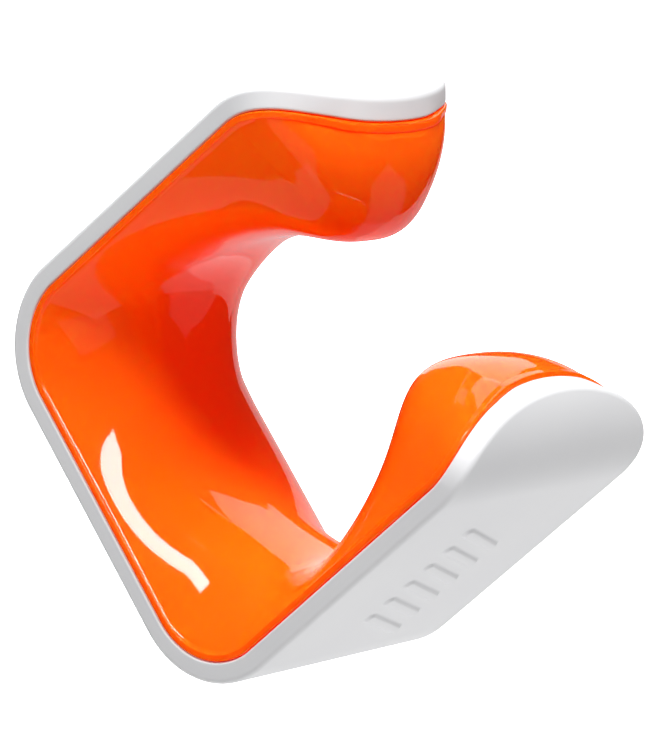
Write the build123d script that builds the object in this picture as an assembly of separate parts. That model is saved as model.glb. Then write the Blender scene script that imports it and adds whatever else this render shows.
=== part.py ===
from build123d import *

import math
import os

import numpy as np

# Wall clip for a bicycle tyre, in millimetres.
# A white C-shaped band stands with its flat base against a wall, and a soft liner
# inside it grips the tyre. The frame: +Z runs along the tyre, which is also the
# band's width. +Y points into the wall, so the mouth opens towards -Y.
# The origin is the centre of the base's wall face. The part is symmetric in X and Z.
#
# Outlines are worked out in a half plane of (across, outward): across is X, and
# outward is the distance from the wall, which is -Y.

# ---- driving dimensions -------------------------------------------------------------
WIDTH = 32.0            # band width, along the tyre
WALL = 2.4              # shell wall thickness
BASE_HALF = 14.5        # half length of the flat base
CORNER_R = 11.5         # outer radius of the two base corners
CORNER_TURN = 91.4      # degrees: the arms close a little towards the mouth
ARM_LENGTH = 31.2       # straight part of each arm
LIP_R = 11.3            # outer radius where an arm bends in
LIP_TURN = 61.9         # degrees
LIP_LENGTH = 4.0        # straight end of each lip, before its tongue is trimmed

TONGUE_START = 66.0     # along the outline, where a lip starts to narrow to its tongue
TONGUE_REACH = 10.8     # from there to the tongue's end
TONGUE_POWER = 2.5      # the tongue is squarer than an ellipse, which has 2
TONGUE_TILT = 33.5      # degrees from straight out, the way the tongue's end faces
TONGUE_STEPS = 9        # points on each side of a tongue's curve
CUT_MARGIN = 8.0        # how far a tongue's cutter passes the lip all round
EDGE_ROUND = 0.4        # rounding of the shell's long edges

CLEARANCE = 0.12        # gap between shell and liner, so that the liner slides
LINER_EDGE = 0.9        # liner thickness along its side edges
LINER_PROUD = 0.3       # how far the liner's tongues pass the shell's

SCREW_HOLE_R = 2.25     # for a 4 mm pan head screw
SCREW_SPACING = 14.0    # hole to hole, along the band's width
HEAD_POCKET_R = 4.3     # clears the screw's head
HEAD_POCKET_DEPTH = 2.8
DRILL_MARGIN = 1.0      # how far a hole's cutter starts or ends clear of the wall

RELIEF = 0.3            # height of the raised ribs on one arm
RIB_LENGTH = 11.0
RIB_WIDTH = 1.3
RIB_STEP = 3.4          # rib to rib, along the arm
RIB_COUNT = 6
RIB_SLANT = 28.0        # degrees from the band's width
RIB_FROM_CORNER = 5.0   # first rib's centre, from the start of the straight arm

CORNER_END = BASE_HALF + CORNER_R * math.radians(CORNER_TURN)   # along the outline, where an arm starts
ARM_END = CORNER_END + ARM_LENGTH                               # where it starts to bend in
LINER_END = TONGUE_START + TONGUE_REACH + LINER_PROUD

# ---- liner's crest: its inner line at mid-width, as (along the outline, across, outward) --
CREST = [
    (0.0, 0.0, 7.8),                                       # floor
    ((BASE_HALF + CORNER_END) / 2, 12.2, 12.0),            # haunch, in the corner
    (CORNER_END + 0.35 * ARM_LENGTH, 18.1, 23.6),          # side
    (CORNER_END + 0.75 * ARM_LENGTH, 11.7, 36.6),          # shoulder
    (ARM_END, 8.1, 41.8),                                  # neck
    (TONGUE_START + TONGUE_REACH / 2, 11.2, 48.0),         # flare
]
TIP_THICKNESS = 0.3     # of the hump at the tongue's very end, over the liner's edge
HUMP_POWER = 2.7        # the hump falls off across the width a little squarer than a parabola
HUMP_OUTSIDE = -0.2     # least hump, past the liner's edge, where the space is open
NARROWEST = 4.0         # half width that a section's hump has at the tongue's very end
SECTION_STEPS = 20      # points along each half of a section
LEVELS = [0.0, 4.0, 7.5, 10.5, 13.0, 14.8, 16.0, 17.0]   # heights of the liner's sections

SEGMENTS = [
    ("line", BASE_HALF, 0.0),
    ("arc", CORNER_R, CORNER_TURN),
    ("line", ARM_LENGTH, 0.0),
    ("arc", LIP_R, LIP_TURN),
    ("line", LIP_LENGTH, 0.0),
]


def step_along(start, heading, segment, depth, part=1.0):
    """The point and heading after part of a segment of the outline offset inward by depth."""
    kind, size, turn = segment
    across, outward = start
    if kind == "line":
        across += size * part * math.cos(heading)
        outward += size * part * math.sin(heading)
        return (across, outward), heading
    radius = size - depth
    ahead = heading + math.radians(turn) * part
    across += radius * (math.sin(ahead) - math.sin(heading))
    outward += radius * (math.cos(heading) - math.cos(ahead))
    return (across, outward), ahead


def outline(depth):
    """Edges of one half of the band's outline, offset inward by depth, and its last point."""
    point, heading = (0.0, depth), 0.0
    edges = []
    for segment in SEGMENTS:
        middle, _ = step_along(point, heading, segment, depth, 0.5)
        end, ahead = step_along(point, heading, segment, depth)
        if segment[0] == "line":
            edges.append(Edge.make_line(point, end))
        else:
            edges.append(Edge.make_three_point_arc(point, middle, end))
        point, heading = end, ahead
    return edges, point


def point_at(distance, depth):
    """The point of the offset outline that lies inside a given place on the outer one."""
    point, heading = (0.0, depth), 0.0
    for segment in SEGMENTS:
        kind, size, turn = segment
        length = size if kind == "line" else size * math.radians(turn)
        if distance <= length:
            return step_along(point, heading, segment, depth, distance / length)[0]
        point, heading = step_along(point, heading, segment, depth)
        distance -= length
    return point


def both_halves(edges):
    """The edges of one half with their mirror images."""
    mirrored = [edge.mirror(Plane.YZ) for edge in edges]
    return edges + mirrored


def upright(solid):
    """Turn a solid drawn in (across, outward) and centred in Z so that outward is -Y."""
    return solid.rotate(Axis.X, 180)


def extrude_centred(face, width):
    return Solid.extrude(face, Vector(0, 0, width)).moved(Location((0, 0, -width / 2)))


def band(outer_depth, inner_depth):
    """The C between two offsets of the outline, extruded to the band's width."""
    outer, outer_tip = outline(outer_depth)
    inner, inner_tip = outline(inner_depth)
    cap = Edge.make_line(outer_tip, inner_tip)
    face = Face(Wire(both_halves(outer + inner + [cap])))
    return extrude_centred(face, WIDTH)


def half_width(distance, proud):
    """Half of the band's width at a distance along the outline."""
    past = max(distance - TONGUE_START, 0.0) / (TONGUE_REACH + proud)
    return WIDTH / 2 * math.sqrt(max(1 - past ** TONGUE_POWER, 0.0))


def tongue_nose(forward, side, proud):
    """The tongue's plan, as a face in (forward, width), reaching back from its curve."""
    curve = []
    for step in range(TONGUE_STEPS + 1):
        distance = TONGUE_START + (TONGUE_REACH + proud) * math.sin(math.pi / 2 * step / TONGUE_STEPS)
        across, outward = point_at(distance, 0.0)
        ahead = Vector(across * side, outward, 0).dot(forward)
        curve.append((ahead, half_width(distance, proud)))
    lower = [(ahead, -half) for ahead, half in reversed(curve[:-1])]
    start = curve[0][0]
    back = [(start, -WIDTH / 2), (start - CUT_MARGIN, -WIDTH / 2), (start - CUT_MARGIN, WIDTH / 2)]
    sides = [Edge.make_line((*a, 0), (*b, 0)) for a, b in zip(back, back[1:] + [(start, WIDTH / 2)])]
    spline = Edge.make_spline([Vector(*p, 0) for p in curve + lower])
    return Face(Wire([spline] + sides)), start


def tongue_cutter(side, proud):
    """What is cut from one lip so that it ends in a rounded tongue."""
    tilt = math.radians(TONGUE_TILT)
    forward = Vector(-math.sin(tilt) * side, math.cos(tilt), 0)
    through = Vector(-math.cos(tilt) * side, -math.sin(tilt), 0)
    nose, start = tongue_nose(forward, side, proud)
    length = TONGUE_REACH + CUT_MARGIN
    block = Pos(start + length / 2, 0) * Rectangle(length, WIDTH + CUT_MARGIN)
    _, tip = outline(0.0)
    level = Vector(tip[0] * side, tip[1], 0).dot(through) - CUT_MARGIN
    plane = Plane(origin=through * level, x_dir=forward, z_dir=through)
    return extrude(plane * (block - nose), 3 * CUT_MARGIN)


def cut_tongues(solid, proud):
    for side in (1, -1):
        solid = solid - tongue_cutter(side, proud)
    return solid


def upright_cylinder(radius, z, start, end):
    """A cylinder along the outward direction, between two distances from the wall."""
    length = end - start
    turned = Rot(-90, 0, 0) * Cylinder(radius, length)
    return Pos(0, start + length / 2, z) * turned


def drill(solid, radius, start, end):
    """The solid with a hole, or part of one, where each of the two screws goes."""
    for z in (-SCREW_SPACING / 2, SCREW_SPACING / 2):
        solid = solid - upright_cylinder(radius, z, start, end)
    return solid


def ribs():
    """A row of plain slanted raised ribs on the flat outer face of the arm at -X."""
    start = CORNER_END + RIB_FROM_CORNER
    lean = math.radians(CORNER_TURN - 90)
    normal = Vector(-math.cos(lean), -math.sin(lean), 0)
    rib = Rot(0, 0, RIB_SLANT) * SlotOverall(RIB_LENGTH, RIB_WIDTH)
    bars = []
    for index in range(RIB_COUNT):
        across, outward = point_at(start + index * RIB_STEP, 0.0)
        place = Plane(origin=(-across, outward, 0), x_dir=(0, 0, 1), z_dir=normal)
        bars.append(extrude(place * rib, RELIEF, both=True))
    return bars


def round_edges(solid):
    """Round the long edges of the band, where the side faces meet the outside and inside."""
    rims = [e for e in solid.edges() if abs(e.center().Z) > WIDTH / 2 - 0.01]
    return solid.fillet(EDGE_ROUND, rims)


def make_shell():
    shell = cut_tongues(round_edges(band(0.0, WALL)), 0.0)
    shell = drill(shell, SCREW_HOLE_R, -DRILL_MARGIN, WALL + DRILL_MARGIN)
    for rib in ribs():
        shell = shell + rib
    return shell


def liner_base(distance, depth):
    """A point at some depth beside the outline, set on by the lean of the tongue's end."""
    bend = min(max(distance - ARM_END, 0.0) / LIP_R, math.radians(LIP_TURN))
    lean = math.radians(CORNER_TURN - 90 - TONGUE_TILT) + bend
    if distance > TONGUE_START:
        distance += depth * math.tan(lean)
    return point_at(distance, depth)


def natural_spline(knots, values, at):
    """A smooth curve through values at knots, by natural cubic spline."""
    count = len(knots)
    gaps = np.diff(knots)
    rises = np.diff(values) / gaps
    matrix = np.eye(count)
    right = np.zeros(count)
    for i in range(1, count - 1):
        matrix[i, i - 1:i + 2] = gaps[i - 1], 2 * (gaps[i - 1] + gaps[i]), gaps[i]
        right[i] = 3 * (rises[i] - rises[i - 1])
    bends = np.linalg.solve(matrix, right)
    slopes = rises - gaps * (2 * bends[:-1] + bends[1:]) / 3
    cubics = np.diff(bends) / (3 * gaps)
    i = np.clip(np.searchsorted(knots, at) - 1, 0, count - 2)
    step = at - np.asarray(knots)[i]
    return np.asarray(values)[i] + slopes[i] * step + bends[i] * step ** 2 + cubics[i] * step ** 3


def crest_line(stations):
    """The crest beside places along the outline, as points (across, outward)."""
    half = CREST + [(LINER_END, *liner_base(LINER_END, WALL + LINER_EDGE + TIP_THICKNESS))]
    mirrored = [(-along, -across, outward) for along, across, outward in half[:0:-1]]
    along, across, outward = zip(*(mirrored + half))
    across_there = natural_spline(along, across, stations)
    outward_there = natural_spline(along, outward, stations)
    return list(zip(across_there.tolist(), outward_there.tolist()))


def liner_section(z):
    """The wire round the space inside the liner at one height, closed outside the mouth."""
    stations = np.linspace(0.0, LINER_END, SECTION_STEPS)
    right = []
    for station, crest in zip(stations.tolist(), crest_line(stations)):
        edge = liner_base(station, WALL + LINER_EDGE)
        half = max(half_width(station, LINER_PROUD), NARROWEST)
        hump = max(1 - abs(z / half) ** HUMP_POWER, HUMP_OUTSIDE)
        right.append((edge[0] + (crest[0] - edge[0]) * hump, edge[1] + (crest[1] - edge[1]) * hump))
    left = [(-x, y) for x, y in reversed(right[1:])]
    last = right[-1]
    curve = Edge.make_spline([Vector(x, y, z) for x, y in left + right])
    out = last[1] + CUT_MARGIN
    corners = [(last[0], last[1]), (last[0], out), (-last[0], out), (-last[0], last[1])]
    sides = [Edge.make_line((*a, z), (*b, z)) for a, b in zip(corners, corners[1:])]
    return Wire([curve] + sides)


def make_liner():
    depth = WALL + CLEARANCE
    outer, tip = outline(depth)
    mouth = Edge.make_line(tip, (-tip[0], tip[1]))
    blank = extrude_centred(Face(Wire(both_halves(outer) + [mouth])), WIDTH)
    heights = [-z for z in reversed(LEVELS[1:])] + LEVELS
    space = Solid.make_loft([liner_section(z) for z in heights])
    liner = cut_tongues(blank - space, LINER_PROUD)
    return drill(liner, HEAD_POCKET_R, depth - DRILL_MARGIN, depth + HEAD_POCKET_DEPTH)


def main():
    os.makedirs("parts", exist_ok=True)
    export_step(upright(make_shell()), "parts/outer_shell.step")
    export_step(upright(make_liner()), "parts/tyre_liner.step")


main()
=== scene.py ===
import math

import bmesh
import bpy
import numpy as np
from mathutils import Matrix, Vector


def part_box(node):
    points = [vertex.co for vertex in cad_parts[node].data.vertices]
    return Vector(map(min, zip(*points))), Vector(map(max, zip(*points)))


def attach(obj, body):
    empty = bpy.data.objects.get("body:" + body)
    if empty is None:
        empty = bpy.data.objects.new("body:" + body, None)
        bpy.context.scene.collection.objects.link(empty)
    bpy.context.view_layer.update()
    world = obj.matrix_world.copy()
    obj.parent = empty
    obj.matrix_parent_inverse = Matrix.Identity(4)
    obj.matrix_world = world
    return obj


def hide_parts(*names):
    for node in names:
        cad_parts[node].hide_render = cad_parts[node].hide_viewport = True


# A wall clip for a bicycle tyre: a white moulded band and a glossy orange liner.
# The frame is the CAD's: +Y into the wall, mouth towards -Y, +Z along the tyre.
# Outlines are worked out in a half plane of (across, outward) = (X, -Y), in metres.
# A place on the clip is given by s, the distance along the band's outer outline from the
# middle of the base, which is negative towards -X, by z across the band's width, and by a
# depth inward from the outer face.

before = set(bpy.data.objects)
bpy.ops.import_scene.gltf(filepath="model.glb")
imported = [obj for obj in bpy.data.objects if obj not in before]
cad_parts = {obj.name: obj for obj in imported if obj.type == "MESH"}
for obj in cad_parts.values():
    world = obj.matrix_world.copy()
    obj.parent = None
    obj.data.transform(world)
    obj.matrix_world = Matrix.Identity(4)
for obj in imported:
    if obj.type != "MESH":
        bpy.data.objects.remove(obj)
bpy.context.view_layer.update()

MM = 0.001
SHELL_LOW, SHELL_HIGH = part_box("outer_shell")
HALF_WIDTH = (SHELL_HIGH.z - SHELL_LOW.z) / 2

# ---- driving dimensions -------------------------------------------------------------
WALL = 2.4 * MM
BASE_HALF = 14.5 * MM
CORNER_R = 11.5 * MM
CORNER_TURN = math.radians(91.4)
ARM_LENGTH = 31.2 * MM
LIP_R = 11.3 * MM
LIP_TURN = math.radians(61.9)
FLAT_END = 20.0 * MM          # more than any tongue needs of the lip's straight end

TONGUE_START = 66.0 * MM      # along the outline, where a lip starts to narrow to its tongue
TONGUE_REACH = 10.8 * MM      # from there to the tongue's end
TONGUE_POWER = 2.5            # squarer than an ellipse, which has 2
TONGUE_TILT = math.radians(33.5)   # from straight out, the way the tongue's end faces
LEAN_FADE = 1.5 * MM          # along the outline, over which the tilt of a tongue's cut sets in

OUTER_ROUND = 0.55 * MM
INNER_ROUND = 0.3 * MM
CLEARANCE = 0.12 * MM
LINER_EDGE = 0.9 * MM         # thickness along the liner's side edges
LINER_PROUD = 0.3 * MM        # how far the liner's tongues pass the shell's
LINER_ROUND = 0.18 * MM
LINER_BACK_ROUND = 0.08 * MM
LINER_SIDE_LINE = 0.2 * MM    # of an extra line up each side edge, from the back
TIP_THICKNESS = 0.3 * MM      # of the hump, at a tongue's end
HUMP_POWER = 2.7

SCREW_HEIGHT = 7.0 * MM       # of each screw above or below mid-width
SCREW_R = 2.25 * MM
POCKET_R = 4.3 * MM           # room in the liner's back for a screw's head
POCKET_DEPTH = 2.8 * MM
CUT_MARGIN = 1.0 * MM         # how far a hole's cutter starts or ends clear of the surface

RIB_HEIGHT = 0.28 * MM
RIB_LENGTH = 11.0 * MM
RIB_WIDTH = 1.3 * MM
RIB_STEP = 3.4 * MM
RIB_COUNT = 6
RIB_SLANT = math.radians(28)
RIB_FROM_CORNER = 5.0 * MM    # first rib's centre, from the start of the straight arm
RIB_FLANK = 0.45 * MM         # width over which a rib's side rises

CORNER_END = BASE_HALF + CORNER_R * CORNER_TURN   # along the outline, where an arm starts
ARM_END = CORNER_END + ARM_LENGTH                 # where it starts to bend in
TONGUE_END = TONGUE_START + TONGUE_REACH + LINER_PROUD
LINER_BACK = WALL + CLEARANCE                     # depths of the liner's back and of its face
LINER_FACE = WALL + LINER_EDGE                    # at the side edges

# The liner's inner line at mid-width, as (along the outline, across, outward).
CREST = [
    (0.0, 0.0, 7.8 * MM),                                          # floor
    ((BASE_HALF + CORNER_END) / 2, 12.2 * MM, 12.0 * MM),          # haunch, in the corner
    (CORNER_END + 0.35 * ARM_LENGTH, 18.1 * MM, 23.6 * MM),        # side
    (CORNER_END + 0.75 * ARM_LENGTH, 11.7 * MM, 36.6 * MM),        # shoulder
    (ARM_END, 8.1 * MM, 41.8 * MM),                                # neck
    (TONGUE_START + TONGUE_REACH / 2, 11.2 * MM, 48.0 * MM),       # flare
]

# ---- fineness of the meshes -----------------------------------------------------------
SHELL_ROWS = 300              # along the band, between its tongues
LINER_ROWS = 260
TONGUE_SHARE = 5              # a tongue has one row for this many along the band
RIB_ROW_STEP = 0.16 * MM
RIB_ROWS_FROM = 1.0 * MM      # the stretch of the arm that has these closer rows
RIB_ROWS_TO = 28.0 * MM
RIB_ROWS_GAP = 0.1 * MM       # least distance from them to the other rows
RIB_LINES = 86                # lines over the middle of the outer face, where the ribs are
LINER_LINES = 75
NEAR_EDGE = 0.985             # of the half width, for the line next to a side edge
SHELL_TURN_STEPS = 7          # points around each rounded edge
LINER_TURN_STEPS = 6
HOLE_SEGMENTS = 72
MERGE_DISTANCE = 2e-6
SLIVER_DISTANCE = 1e-6
SHARP_ANGLE = math.radians(60)

# ---- colours --------------------------------------------------------------------------
SHELL_WHITE = (0.83, 0.83, 0.84)
SHELL_SHADE = (0.8, 0.8, 0.815)
LINER_ORANGE = (0.99, 0.16, 0.004)
LINER_DEEP = (0.98, 0.145, 0.004)
# painted light: colour of a red glow that lifts the liner's shaded hollows to deep red
LINER_PAINTED_GLOW = (1.0, 0.01, 0.0)
NOISE_LOW, NOISE_HIGH = 0.3, 0.7   # nearly all of a noise texture's values lie between these

# ---- studio ---------------------------------------------------------------------------
MIDDLE = Vector((0, -0.026, 0))
TABLE = -0.3                  # height of the floor, well below the clip
FLOOR_SIZE = 6.0
SEEN_WHITE = 1.5              # brightness of the floor and the surround in the picture
SURROUND_LIGHT = 0.02         # brightness of the surround as the clip gets it
LAMP_DISTANCE = 0.8
PANEL_DISTANCE = 0.6

VIEW_AZIMUTH = math.radians(26.6)     # the way the camera looks: from +Y towards +X,
VIEW_FALL = math.radians(49.6)        # and down from level
VIEW_ROLL = math.radians(-98.3)
VIEW_AIM = Vector((0.3, -26.2, -0.3)) * MM
VIEW_DISTANCE = 406 * MM
LENS_MM = 178.0
SENSOR_MM = 36.0


# ---- outline --------------------------------------------------------------------------
def outline_points(s, depth):
    """Points at signed distances s along the outer outline, moved inward by depth."""
    s = np.asarray(s, float)
    side = np.where(s < 0, -1.0, 1.0)
    left = np.abs(s)
    across = np.zeros_like(left)
    outward = np.zeros_like(left)
    heading = np.zeros_like(left)
    segments = [
        (BASE_HALF, 0.0, 0.0),
        (CORNER_R * CORNER_TURN, CORNER_R, CORNER_TURN),
        (ARM_LENGTH, 0.0, 0.0),
        (LIP_R * LIP_TURN, LIP_R, LIP_TURN),
        (FLAT_END, 0.0, 0.0),
    ]
    for length, radius, turn in segments:
        run = np.clip(left, 0.0, length)
        if radius:
            ahead = heading + run / radius
            across += radius * (np.sin(ahead) - np.sin(heading))
            outward += radius * (np.cos(heading) - np.cos(ahead))
            heading = ahead
        else:
            across += run * np.cos(heading)
            outward += run * np.sin(heading)
        left = left - run
    across = across - np.sin(heading) * depth
    outward = outward + np.cos(heading) * depth
    return side * across, outward


def half_width(s, proud=0.0):
    """Half of the band's width at distance s along the outline, less towards a tongue."""
    past = np.clip((np.abs(s) - TONGUE_START) / (TONGUE_REACH + proud), 0.0, 1.0)
    return HALF_WIDTH * np.sqrt(1.0 - past ** TONGUE_POWER)


def end_lean(s):
    """How far along a tongue leans for each unit of depth, cut square to its tilt."""
    bend = np.clip((np.abs(s) - ARM_END) / LIP_R, 0.0, LIP_TURN)
    lean = np.tan(CORNER_TURN - math.pi / 2 - TONGUE_TILT + bend)
    fade = np.clip((np.abs(s) - TONGUE_START) / LEAN_FADE, 0.0, 1.0)
    return np.sign(s) * lean * fade


def to_space(s, z, depth):
    """Points from distance, width and depth, leaning as the tongue's cut end does."""
    across, outward = outline_points(s + end_lean(s) * depth, depth)
    return np.stack([across, -outward, z], axis=-1)


def natural_spline(knots, values, at):
    """A smooth curve through values at knots, by natural cubic spline."""
    knots = np.asarray(knots, float)
    values = np.asarray(values, float)
    n = len(knots)
    h = np.diff(knots)
    a = np.zeros((n, n))
    b = np.zeros(n)
    a[0, 0] = a[-1, -1] = 1.0
    for i in range(1, n - 1):
        a[i, i - 1:i + 2] = h[i - 1], 2 * (h[i - 1] + h[i]), h[i]
        b[i] = 3 * ((values[i + 1] - values[i]) / h[i] - (values[i] - values[i - 1]) / h[i - 1])
    c = np.linalg.solve(a, b)
    slope = np.diff(values) / h - h * (2 * c[:-1] + c[1:]) / 3
    d = np.diff(c) / (3 * h)
    k = np.clip(np.searchsorted(knots, at) - 1, 0, n - 2)
    t = at - knots[k]
    return values[k] + slope[k] * t + c[k] * t ** 2 + d[k] * t ** 3


def crest_points(s):
    """The liner's inner line at mid-width, beside distance s along the outline."""
    tip = to_space(np.array([TONGUE_END]), np.zeros(1), LINER_FACE + TIP_THICKNESS)[0]
    half = CREST + [(TONGUE_END, tip[0], -tip[1])]
    line = [(-along, -across, outward) for along, across, outward in half[:0:-1]] + half
    along, across, outward = zip(*line)
    return natural_spline(along, across, s), natural_spline(along, outward, s)


# ---- lines along the band -------------------------------------------------------------
def edge_path(proud, rows):
    """(s, z) along one side edge, from one tongue's end to the other's."""
    middle = np.linspace(-TONGUE_START, TONGUE_START, rows)
    turn = np.linspace(0.0, math.pi / 2, rows // TONGUE_SHARE)[1:]
    tongue = TONGUE_START + (TONGUE_REACH + proud) * np.sin(turn)
    s = np.concatenate([-tongue[::-1], middle, tongue])
    z = half_width(s, proud)
    z[0] = z[-1] = 0.0
    return s, z


def inset_path(s, z, distance):
    """The edge moved inward in its own sheet, so that it can be rounded off."""
    ds = np.gradient(s)
    dz = np.gradient(z)
    length = np.hypot(ds, dz)
    inset_s = s + dz / length * distance
    inset_z = z - ds / length * distance
    inset_s[0] = s[0] + distance
    inset_s[-1] = s[-1] - distance
    inset_z[0] = inset_z[-1] = 0.0
    return inset_s, np.maximum(inset_z, 0.0)


def edge_line(s, z, side, inset, depth):
    """The line that runs beside one side edge, inset from it; side is 1 or -1."""
    line_s, line_z = inset_path(s, z, inset)
    return to_space(line_s, side * line_z, depth)


def lines_to_edges(inner):
    """Where lines cross a face, from side to side: the inner ones and one at each side."""
    return np.concatenate([[-1.0], inner, [1.0]])


# ---- meshes ---------------------------------------------------------------------------
def tidy_mesh(mesh):
    """Merge the points that coincide, turn the faces outward and shade them smooth."""
    work = bmesh.new()
    work.from_mesh(mesh)
    bmesh.ops.remove_doubles(work, verts=work.verts, dist=MERGE_DISTANCE)
    bmesh.ops.dissolve_degenerate(work, edges=work.edges, dist=SLIVER_DISTANCE)
    bmesh.ops.recalc_face_normals(work, faces=work.faces)
    work.to_mesh(mesh)
    work.free()
    for polygon in mesh.polygons:
        polygon.use_smooth = True


def add_object(name, mesh):
    piece = bpy.data.objects.new(name, mesh)
    bpy.context.scene.collection.objects.link(piece)
    return piece


def mesh_from_lines(name, lines):
    """A closed mesh from lines that go round the band's section, joined at the tongues' ends."""
    grid = np.stack(lines, axis=1)
    rows, loop = grid.shape[:2]
    index = np.arange(rows * loop).reshape(rows, loop).tolist()
    faces = []
    for i in range(rows - 1):
        for j in range(loop):
            k = (j + 1) % loop
            faces.append((index[i][j], index[i][k], index[i + 1][k], index[i + 1][j]))
    mesh = bpy.data.meshes.new(name)
    mesh.from_pydata([tuple(p) for p in grid.reshape(-1, 3)], [], faces)
    piece = add_object(name, mesh)
    tidy_mesh(mesh)
    return piece


def screw_cutter(radius, low, high):
    """A round bar for each screw's place, along Y from one depth to another."""
    work = bmesh.new()
    for height in (SCREW_HEIGHT, -SCREW_HEIGHT):
        place = Matrix.Translation((0, -(low + high) / 2, height)) @ Matrix.Rotation(math.pi / 2, 4, "X")
        bmesh.ops.create_cone(work, cap_ends=True, segments=HOLE_SEGMENTS, radius1=radius,
                              radius2=radius, depth=high - low, matrix=place)
    for face in work.faces:
        face.smooth = True
    mesh = bpy.data.meshes.new("cutter")
    work.to_mesh(mesh)
    work.free()
    return add_object("cutter", mesh)


def cut_screw_places(piece, radius, low, high):
    """Cut a round hole for each screw out of a piece, from one depth to another."""
    cutter = screw_cutter(radius, low, high)
    cut = piece.modifiers.new("screws", "BOOLEAN")
    cut.operation = "DIFFERENCE"
    cut.solver = "EXACT"
    cut.object = cutter
    bpy.context.view_layer.update()
    whole = piece.data
    graph = bpy.context.evaluated_depsgraph_get()
    piece.data = bpy.data.meshes.new_from_object(piece.evaluated_get(graph))
    piece.modifiers.clear()
    bpy.data.meshes.remove(whole)
    bpy.data.meshes.remove(cutter.data)
    piece.data.name = piece.name
    piece.data.set_sharp_from_angle(angle=SHARP_ANGLE)


# ---- shell ----------------------------------------------------------------------------
def rib_relief(s, z):
    """Height of the raised ribs at a place on the outer face of the arm at -X."""
    height = np.zeros_like(s)
    first = CORNER_END + RIB_FROM_CORNER
    for index in range(RIB_COUNT):
        along = -s - (first + index * RIB_STEP)
        u = z * math.cos(RIB_SLANT) + along * math.sin(RIB_SLANT)
        v = -z * math.sin(RIB_SLANT) + along * math.cos(RIB_SLANT)
        u = np.maximum(np.abs(u) - (RIB_LENGTH - RIB_WIDTH) / 2, 0.0)
        distance = np.hypot(u, v) - RIB_WIDTH / 2
        rise = np.clip(0.5 - distance / RIB_FLANK, 0.0, 1.0)
        height = np.maximum(height, RIB_HEIGHT * rise * rise * (3 - 2 * rise))
    return height


def shell_rows():
    """(s, z) along the shell's edge, closer together where the ribs are."""
    s, _ = edge_path(0.0, SHELL_ROWS)
    fine = -np.arange(CORNER_END + RIB_ROWS_FROM, CORNER_END + RIB_ROWS_TO, RIB_ROW_STEP)[::-1]
    before = s[s < fine[0] - RIB_ROWS_GAP]
    after = s[s > fine[-1] + RIB_ROWS_GAP]
    s = np.concatenate([before, fine, after])
    z = half_width(s)
    z[0] = z[-1] = 0.0
    return s, z


def shell_rim():
    """(inset, depth) across a side edge: outer rounding, flat and inner rounding."""
    turns = np.linspace(0, math.pi / 2, SHELL_TURN_STEPS)[1:]
    outer = [(OUTER_ROUND * (1 - math.sin(t)), OUTER_ROUND * (1 - math.cos(t))) for t in turns]
    inner = [(INNER_ROUND * (1 - math.sin(t)), WALL - INNER_ROUND * (1 - math.cos(t))) for t in turns]
    flat = [(0.0, OUTER_ROUND + (WALL - OUTER_ROUND - INNER_ROUND) * part) for part in (0.1, 0.5, 0.9)]
    return outer + flat + inner[::-1]


def make_shell():
    """The white band, with ribs on its outer face and a hole through it for each screw."""
    s, z = shell_rows()
    rim = shell_rim()
    beside_ribs = np.append(np.linspace(0.54, 0.95, 10), NEAR_EDGE)
    over_ribs = np.linspace(-0.5, 0.5, RIB_LINES)
    inside = np.concatenate([[-NEAR_EDGE], np.linspace(-0.9, 0.9, 13), [NEAR_EDGE]])
    lines = []
    face_s, face_z = inset_path(s, z, OUTER_ROUND)
    for v in lines_to_edges(np.concatenate([-beside_ribs[::-1], over_ribs, beside_ribs])):
        lines.append(to_space(face_s, v * face_z, -rib_relief(face_s, v * face_z)))
    for inset, depth in rim:
        lines.append(edge_line(s, z, 1, inset, depth))
    face_s, face_z = inset_path(s, z, INNER_ROUND)
    for v in lines_to_edges(inside)[::-1]:
        lines.append(to_space(face_s, v * face_z, WALL))
    for inset, depth in rim[::-1]:
        lines.append(edge_line(s, z, -1, inset, depth))
    band = mesh_from_lines("band", lines)
    cut_screw_places(band, SCREW_R, -CUT_MARGIN, WALL + CUT_MARGIN)
    return band


# ---- liner ----------------------------------------------------------------------------
def hump_line(s, width, v):
    """A line along the humped inner surface: v runs from one side edge, -1, to the other, 1."""
    base = to_space(s, v * width, LINER_FACE)
    across, outward = crest_points(s)
    crest = np.stack([across, -outward, v * width], axis=-1)
    return base + (crest - base) * (1 - abs(v) ** HUMP_POWER)


def liner_rim():
    """(inset, depth) across a side edge: rounding, flat and a small rounding at the back."""
    turns = np.linspace(0, math.pi / 2, LINER_TURN_STEPS)[:-1]
    face = [(LINER_ROUND * (1 - math.cos(t)), LINER_FACE - LINER_ROUND * (1 - math.sin(t)))
            for t in turns[::-1]]
    back = [(0.0, LINER_BACK + LINER_SIDE_LINE), (0.0, LINER_BACK + LINER_BACK_ROUND),
            (LINER_BACK_ROUND, LINER_BACK)]
    return face + back


def make_liner():
    """The orange liner, with a pocket in its back over each screw's head."""
    s, z = edge_path(LINER_PROUD, LINER_ROWS)
    rim = liner_rim()
    lines = []
    face_s, face_z = inset_path(s, z, LINER_ROUND)
    for v in lines_to_edges(np.linspace(-NEAR_EDGE, NEAR_EDGE, LINER_LINES)):
        lines.append(hump_line(face_s, face_z, v))
    for inset, depth in rim:
        lines.append(edge_line(s, z, 1, inset, depth))
    for v in np.linspace(0.97, -0.97, 11):
        lines.append(to_space(s, v * z, LINER_BACK))
    for inset, depth in rim[::-1]:
        lines.append(edge_line(s, z, -1, inset, depth))
    soft_liner = mesh_from_lines("soft_liner", lines)
    cut_screw_places(soft_liner, POCKET_R, LINER_BACK - CUT_MARGIN, LINER_BACK + POCKET_DEPTH)
    return soft_liner


# ---- materials ------------------------------------------------------------------------
def new_material(name):
    material = bpy.data.materials.new(name)
    material.use_nodes = True
    nodes = material.node_tree.nodes
    return material, nodes, material.node_tree.links, nodes["Principled BSDF"]


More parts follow.
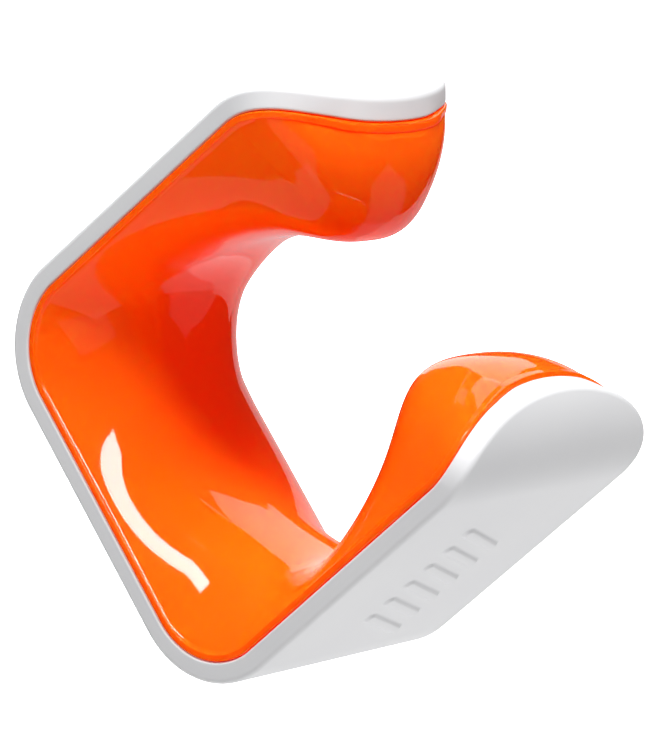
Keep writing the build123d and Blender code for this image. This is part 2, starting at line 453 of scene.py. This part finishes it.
def add_noise(nodes, links, scale, detail):
    """Solid noise in the piece's own coordinates; scale is in features per metre."""
    place = nodes.new("ShaderNodeTexCoord")
    noise = nodes.new("ShaderNodeTexNoise")
    noise.inputs["Scale"].default_value = scale
    noise.inputs["Detail"].default_value = detail
    links.new(place.outputs["Object"], noise.inputs["Vector"])
    return noise.outputs["Fac"]


def blend_colors(nodes, links, noise, low, high):
    """A colour that goes from low to high with a noise."""
    node = nodes.new("ShaderNodeValToRGB")
    stops = zip(node.color_ramp.elements, (NOISE_LOW, NOISE_HIGH), (low, high))
    for point, position, color in stops:
        point.position = position
        point.color = (*color, 1)
    links.new(noise, node.inputs["Fac"])
    return node.outputs["Color"]


def blend_values(nodes, links, noise, low, high):
    """A value that goes from low to high with a noise."""
    node = nodes.new("ShaderNodeMapRange")
    node.inputs["From Min"].default_value = NOISE_LOW
    node.inputs["From Max"].default_value = NOISE_HIGH
    node.inputs["To Min"].default_value = low
    node.inputs["To Max"].default_value = high
    links.new(noise, node.inputs["Value"])
    return node.outputs["Result"]


def add_bump(nodes, links, shader, height, strength, distance):
    bump = nodes.new("ShaderNodeBump")
    bump.inputs["Strength"].default_value = strength
    bump.inputs["Distance"].default_value = distance
    links.new(height, bump.inputs["Height"])
    links.new(bump.outputs["Normal"], shader.inputs["Normal"])


def shell_material():
    """Satin white moulded plastic with a fine spark-eroded grain."""
    material, nodes, links, shader = new_material("satin_white")
    cloud = add_noise(nodes, links, scale=60.0, detail=3.0)
    tint = blend_colors(nodes, links, cloud, low=SHELL_SHADE, high=SHELL_WHITE)
    links.new(tint, shader.inputs["Base Color"])
    gloss = blend_values(nodes, links, cloud, low=0.36, high=0.46)
    links.new(gloss, shader.inputs["Roughness"])
    grain = add_noise(nodes, links, scale=5200.0, detail=2.0)
    add_bump(nodes, links, shader, grain, strength=0.12, distance=0.02 * MM)
    shader.inputs["IOR"].default_value = 1.46
    return material


def liner_material():
    """Thick glossy elastomer, a little deeper where its mix is uneven.

    Its small red glow is painted light, which lifts its shaded hollows to a deep red.
    """
    material, nodes, links, shader = new_material("orange_elastomer")
    cloud = add_noise(nodes, links, scale=90.0, detail=4.0)
    tint = blend_colors(nodes, links, cloud, low=LINER_DEEP, high=LINER_ORANGE)
    links.new(tint, shader.inputs["Base Color"])
    gloss = blend_values(nodes, links, cloud, low=0.03, high=0.06)
    links.new(gloss, shader.inputs["Roughness"])
    ripple = add_noise(nodes, links, scale=240.0, detail=1.0)
    add_bump(nodes, links, shader, ripple, strength=0.05, distance=0.05 * MM)
    shader.inputs["IOR"].default_value = 1.5
    shader.inputs["Subsurface Weight"].default_value = 1.0
    shader.inputs["Subsurface Radius"].default_value = (1.0, 0.15, 0.03)
    shader.inputs["Subsurface Scale"].default_value = 3 * MM
    # Painted light: a red emission, though the liner is no lamp, keeps the shaded hollows a bright deep
    # red.
    shader.inputs["Emission Color"].default_value = (*LINER_PAINTED_GLOW, 1)
    shader.inputs["Emission Strength"].default_value = 0.28
    return material


def dress(piece, material, body, node):
    """Give a piece its material in a slot, tie it to its body and hide the CAD node it stands in for."""
    piece.data.materials.clear()
    piece.data.materials.append(material)
    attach(piece, body)
    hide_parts(node)


# ---- stage ------------------------------------------------------------------------------
def towards(azimuth, elevation):
    """The unit vector that points that way: azimuth 0 is +Y, 90 is +X."""
    a = math.radians(azimuth)
    e = math.radians(elevation)
    return Vector((math.sin(a) * math.cos(e), math.cos(a) * math.cos(e), math.sin(e)))


def area_light(name, size, radiance):
    """A rectangular light of a given size and brightness, which the camera doesn't see."""
    data = bpy.data.lights.new(name, "AREA")
    data.shape = "RECTANGLE"
    data.size, data.size_y = size
    data.energy = radiance * math.pi * size[0] * size[1]
    lamp = add_object(name, data)
    lamp.visible_camera = False
    return lamp


def softbox(name, azimuth, elevation, size, radiance, distance=LAMP_DISTANCE, turn=0.0):
    """A soft rectangular light that faces the clip from that way, turned in its own plane."""
    lamp = area_light(name, size, radiance)
    way = towards(azimuth, elevation)
    side = Vector((0, 0, 1)).cross(way).normalized()
    up = way.cross(side)
    c = math.cos(math.radians(turn))
    s = math.sin(math.radians(turn))
    place = Matrix((side * c + up * s, up * c - side * s, way)).transposed().to_4x4()
    place.translation = MIDDLE + way * distance
    lamp.matrix_world = place
    return lamp


def fill(name, azimuth, elevation, size, radiance):
    """A softbox that lights the clip but isn't mirrored in its gloss."""
    lamp = softbox(name, azimuth, elevation, size, radiance)
    lamp.visible_glossy = False


def table_glow(name, low, high, radiance):
    """A flat light at the floor's height that faces up, from one (x, y) corner to the other."""
    size = (high[0] - low[0], high[1] - low[1])
    lamp = area_light(name, size, radiance)
    lamp.location = ((low[0] + high[0]) / 2, (low[1] + high[1]) / 2, TABLE)
    lamp.rotation_euler = (math.pi, 0, 0)


def make_lights():
    """The lamps around the clip, in degrees and metres, and the lit parts of the table."""
    softbox("key_strip", 146.5, 23.8, (0.74, 0.125), 19.0, turn=22)
    fill("key_soft", 156, 3, (0.3, 0.3), 18.0)
    softbox("side_panel", -60, 23, (0.75, 0.44), 0.42, distance=PANEL_DISTANCE)
    softbox("side_panel_high", -108, 44, (0.32, 0.34), 0.25, distance=PANEL_DISTANCE)
    fill("side_fill", -76, 0, (0.4, 0.5), 7.2)
    fill("right_fill", 80, 0, (0.4, 0.4), 5.0)
    fill("back_fill", 0, 0, (0.4, 0.4), 7.0)
    fill("top_fill", 100, 70, (0.6, 0.6), 1.4)
    softbox("small_window", 18, 21, (0.07, 0.2), 1.0)
    softbox("right_card", 128, -22, (0.4, 0.24), 1.8)
    softbox("right_card_high", 105, -5, (0.16, 0.18), 0.8)
    table_glow("table_back", (-0.52, 0.03), (0.15, 0.52), 0.5)
    table_glow("table_near", (-0.22, 0.0), (-0.03, 0.25), 0.65)
    table_glow("table_right", (0.205, -0.1), (0.5, 0.22), 1.4)
    table_glow("table_right_front", (0.23, -0.32), (0.5, -0.1), 1.6)
    table_glow("table_front", (-0.45, -0.25), (-0.2, 0.03), 0.25)


def make_camera():
    """A long lens in front of the mouth, above it and towards -X, turned nearly on its side."""
    forward = Vector((math.sin(VIEW_AZIMUTH) * math.cos(VIEW_FALL),
                      math.cos(VIEW_AZIMUTH) * math.cos(VIEW_FALL), -math.sin(VIEW_FALL)))
    right = forward.cross(Vector((0, 0, 1))).normalized()
    up = right.cross(forward)
    turned_right = right * math.cos(VIEW_ROLL) + up * math.sin(VIEW_ROLL)
    turned_up = turned_right.cross(forward)
    data = bpy.data.cameras.new("camera")
    data.lens = LENS_MM
    data.sensor_width = SENSOR_MM
    data.clip_start = 0.01
    data.clip_end = 50.0
    camera = add_object("camera", data)
    place = Matrix((turned_right, turned_up, -forward)).transposed().to_4x4()
    place.translation = VIEW_AIM - forward * VIEW_DISTANCE
    camera.matrix_world = place
    bpy.context.scene.camera = camera


def make_floor():
    """A plain pale floor that is only seen: the table glows stand for its light on the clip."""
    bpy.ops.mesh.primitive_plane_add(size=FLOOR_SIZE, location=(0, 0, TABLE))
    floor = bpy.context.object
    floor.name = "floor"
    material, _, _, shader = new_material("pale_floor")
    shader.inputs["Base Color"].default_value = (0.9, 0.9, 0.9, 1)
    shader.inputs["Emission Color"].default_value = (1, 1, 1, 1)
    shader.inputs["Emission Strength"].default_value = SEEN_WHITE
    floor.data.materials.append(material)
    floor.visible_diffuse = False
    floor.visible_glossy = False
    floor.visible_shadow = False


def make_surround():
    """A world that is seen as pale as the floor, but hardly lights the clip."""
    world = bpy.data.worlds.new("studio")
    bpy.context.scene.world = world
    world.use_nodes = True
    nodes, links = world.node_tree.nodes, world.node_tree.links
    dim = nodes["Background"]
    dim.inputs["Color"].default_value = (1, 1, 1, 1)
    dim.inputs["Strength"].default_value = SURROUND_LIGHT
    seen = nodes.new("ShaderNodeBackground")
    seen.inputs["Color"].default_value = (1, 1, 1, 1)
    seen.inputs["Strength"].default_value = SEEN_WHITE
    path = nodes.new("ShaderNodeLightPath")
    mix = nodes.new("ShaderNodeMixShader")
    links.new(path.outputs["Is Camera Ray"], mix.inputs["Fac"])
    links.new(dim.outputs["Background"], mix.inputs[1])
    links.new(seen.outputs["Background"], mix.inputs[2])
    links.new(mix.outputs["Shader"], nodes["World Output"].inputs["Surface"])


make_camera()
dress(make_shell(), shell_material(), "shell", "outer_shell")
dress(make_liner(), liner_material(), "liner", "tyre_liner")
make_floor()
make_surround()
bpy.context.scene.view_settings.view_transform = "Standard"
make_lights()
